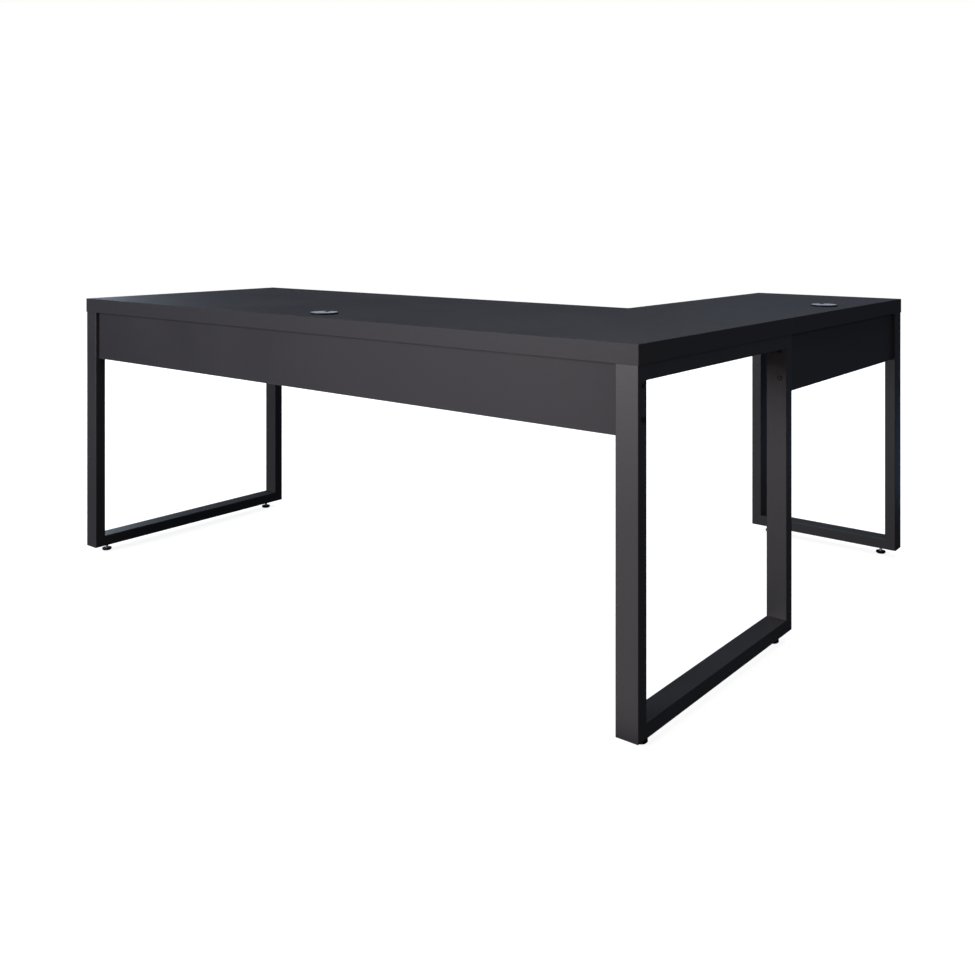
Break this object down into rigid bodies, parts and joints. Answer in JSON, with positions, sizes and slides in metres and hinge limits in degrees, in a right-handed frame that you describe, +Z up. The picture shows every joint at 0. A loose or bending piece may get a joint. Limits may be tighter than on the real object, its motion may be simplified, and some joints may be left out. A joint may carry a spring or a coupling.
{
  "type": "corner desk",
  "caption": "L-shaped office desk with a thick main top, a narrower return, closed rectangular steel frames, slim modesty panels, cable grommets and levelling feet.",
  "frame": {"origin": "on the floor under the middle of the outline's bounding box", "axes": "+X along the main top towards the end with the return, +Y from the visitor's side to the user's side, +Z up"},
  "size_m": [1.9024, 1.5012, 0.7594],
  "materials": {
    "black_melamine": "satin black melamine on chipboard",
    "black_edge_band": "satin black ABS",
    "black_powder_coat": "fine satin powder coat",
    "black_fasteners": "black oxide",
    "plated_steel": "zinc plated",
    "black_plastic": "moulded",
    "silver_plastic": "silver grey, satin",
    "beech": "plain turned beech"
  },
  "bodies": {
    "desk": {"joining_plate_screws": "black_fasteners", "joining_plates": "black_powder_coat", "left_frame_bottom_rail": "black_powder_coat", "left_frame_foot_inserts": "plated_steel", "left_frame_inner_leg": "black_powder_coat", "left_frame_outer_leg": "black_powder_coat", "left_frame_top_rail": "black_powder_coat", "left_frame_top_screws": "black_fasteners", "main_grommet_sleeve": "black_plastic", "main_panel": "black_melamine", "main_panel_cross_nuts": "plated_steel", "main_panel_left_bolts": "black_fasteners", "main_panel_lower_band": "black_edge_band", "main_panel_right_bolts": "black_fasteners", "main_top": "black_melamine", "main_top_inner_y_band": "black_edge_band", "main_top_inserts": "plated_steel", "main_top_left_band": "black_edge_band", "main_top_outer_y_band": "black_edge_band", "main_top_right_band": "black_edge_band", "return_frame_bottom_rail": "black_powder_coat", "return_frame_foot_inserts": "plated_steel", "return_frame_inner_leg": "black_powder_coat", "return_frame_outer_leg": "black_powder_coat", "return_frame_top_rail": "black_powder_coat", "return_frame_top_screws": "black_fasteners", "return_grommet_sleeve": "black_plastic", "return_panel": "black_melamine", "return_panel_cross_nuts": "plated_steel", "return_panel_lower_band": "black_edge_band", "return_panel_rear_bolts": "black_fasteners", "return_panel_seam_bolts": "black_fasteners", "return_top": "black_melamine", "return_top_inner_y_band": "black_edge_band", "return_top_inserts": "plated_steel", "return_top_left_band": "black_edge_band", "return_top_outer_y_band": "black_edge_band", "return_top_right_band": "black_edge_band", "right_frame_bottom_rail": "black_powder_coat", "right_frame_foot_inserts": "plated_steel", "right_frame_inner_leg": "black_powder_coat", "right_frame_outer_leg": "black_powder_coat", "right_frame_top_rail": "black_powder_coat", "right_frame_top_screws": "black_fasteners", "seam_dowels": "beech"},
    "left_outer_pad": {"left_outer_foot_pad": "black_plastic"},
    "left_outer_stem": {"left_outer_foot_stem": "plated_steel"},
    "left_inner_pad": {"left_inner_foot_pad": "black_plastic"},
    "left_inner_stem": {"left_inner_foot_stem": "plated_steel"},
    "right_outer_pad": {"right_outer_foot_pad": "black_plastic"},
    "right_outer_stem": {"right_outer_foot_stem": "plated_steel"},
    "right_inner_pad": {"right_inner_foot_pad": "black_plastic"},
    "right_inner_stem": {"right_inner_foot_stem": "plated_steel"},
    "return_outer_pad": {"return_outer_foot_pad": "black_plastic"},
    "return_outer_stem": {"return_outer_foot_stem": "plated_steel"},
    "return_inner_pad": {"return_inner_foot_pad": "black_plastic"},
    "return_inner_stem": {"return_inner_foot_stem": "plated_steel"},
    "main_cap": {"main_grommet_cap": "silver_plastic"},
    "return_cap": {"return_grommet_cap": "silver_plastic"}
  },
  "joints": [
    {"name": "left_outer_foot_height", "type": "slide", "parent": "desk", "child": "left_outer_pad", "axis": [0, 0, -1], "range_m": [-0.012, 0.005]},
    {"name": "left_outer_foot_screw", "type": "hinge", "parent": "left_outer_pad", "child": "left_outer_stem", "pos_m": [-0.9237, -0.6987, 0.02], "axis": [0, 0, -1], "range_deg": [-3466, 1450]},
    {"name": "left_inner_foot_height", "type": "slide", "parent": "desk", "child": "left_inner_pad", "axis": [0, 0, -1], "range_m": [-0.012, 0.005]},
    {"name": "left_inner_foot_screw", "type": "hinge", "parent": "left_inner_pad", "child": "left_inner_stem", "pos_m": [-0.9237, -0.1013, 0.02], "axis": [0, 0, -1], "range_deg": [-3466, 1450]},
    {"name": "right_outer_foot_height", "type": "slide", "parent": "desk", "child": "right_outer_pad", "axis": [0, 0, -1], "range_m": [-0.012, 0.005]},
    {"name": "right_outer_foot_screw", "type": "hinge", "parent": "right_outer_pad", "child": "right_outer_stem", "pos_m": [0.9237, -0.6987, 0.02], "axis": [0, 0, -1], "range_deg": [-3466, 1450]},
    {"name": "right_inner_foot_height", "type": "slide", "parent": "desk", "child": "right_inner_pad", "axis": [0, 0, -1], "range_m": [-0.012, 0.005]},
    {"name": "right_inner_foot_screw", "type": "hinge", "parent": "right_inner_pad", "child": "right_inner_stem", "pos_m": [0.9237, -0.1013, 0.02], "axis": [0, 0, -1], "range_deg": [-3466, 1450]},
    {"name": "return_outer_foot_height", "type": "slide", "parent": "desk", "child": "return_outer_pad", "axis": [0, 0, -1], "range_m": [-0.012, 0.005]},
    {"name": "return_outer_foot_screw", "type": "hinge", "parent": "return_outer_pad", "child": "return_outer_stem", "pos_m": [0.8987, 0.7237, 0.02], "axis": [0, 0, -1], "range_deg": [-3466, 1450]},
    {"name": "return_inner_foot_height", "type": "slide", "parent": "desk", "child": "return_inner_pad", "axis": [0, 0, -1], "range_m": [-0.012, 0.005]},
    {"name": "return_inner_foot_screw", "type": "hinge", "parent": "return_inner_pad", "child": "return_inner_stem", "pos_m": [0.5513, 0.7237, 0.02], "axis": [0, 0, -1], "range_deg": [-3466, 1450]},
    {"name": "main_cap_lift", "type": "slide", "parent": "desk", "child": "main_cap", "axis": [0, 0, 1], "range_m": [0, 0.03]},
    {"name": "return_cap_lift", "type": "slide", "parent": "desk", "child": "return_cap", "axis": [0, 0, 1], "range_m": [0, 0.03]}
  ],
  "couplings": [
    {"joint": "left_outer_foot_screw", "follows": "left_outer_foot_height", "rad_per_m": 5026.5},
    {"joint": "left_inner_foot_screw", "follows": "left_inner_foot_height", "rad_per_m": 5026.5},
    {"joint": "right_outer_foot_screw", "follows": "right_outer_foot_height", "rad_per_m": 5026.5},
    {"joint": "right_inner_foot_screw", "follows": "right_inner_foot_height", "rad_per_m": 5026.5},
    {"joint": "return_outer_foot_screw", "follows": "return_outer_foot_height", "rad_per_m": 5026.5},
    {"joint": "return_inner_foot_screw", "follows": "return_inner_foot_height", "rad_per_m": 5026.5}
  ]
}
